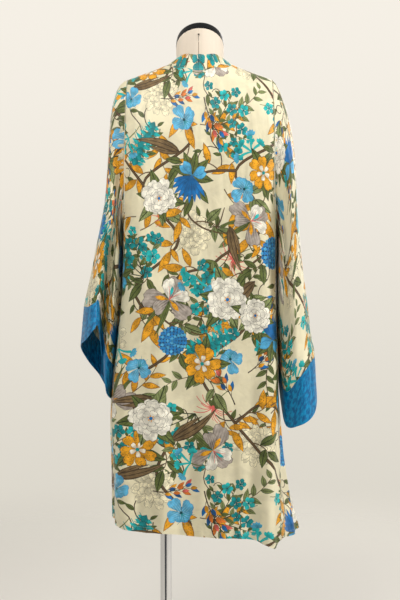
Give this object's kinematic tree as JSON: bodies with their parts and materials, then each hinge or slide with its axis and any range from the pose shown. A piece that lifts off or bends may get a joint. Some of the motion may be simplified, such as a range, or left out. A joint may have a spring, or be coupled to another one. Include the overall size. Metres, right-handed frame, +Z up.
{
  "type": "kimono robe on dress form",
  "caption": "Open knee-length kimono robe with wide hanging sleeves and plain cuffs, worn by a limbless dress form on a pole stand.",
  "frame": {"origin": "on the floor under the middle of the form's neck, on the flat underside of the base", "axes": "+Z up, the front of the robe faces -Y, +X is the side of the wearer's left arm"},
  "size_m": [0.5335, 0.38, 1.5279],
  "materials": {
    "printed_cloth": "light satin with a botanical print",
    "cuff_cloth": "light satin, mottled blue",
    "form_cover": "smooth jersey cover",
    "neck_cap": "black, smooth",
    "chrome": "polished",
    "stand_metal": "brushed"
  },
  "bodies": {
    "root": {"robe_back": "printed_cloth", "robe_front_left": "printed_cloth", "robe_front_right": "printed_cloth", "sleeve_left": "printed_cloth", "sleeve_right": "printed_cloth", "neckband": "printed_cloth", "cuff_left": "cuff_cloth", "cuff_right": "cuff_cloth", "form_torso": "form_cover", "form_neck_cap": "neck_cap", "pole_socket": "stand_metal", "stand_pole": "chrome", "stand_base": "stand_metal"}
  },
  "joints": []
}
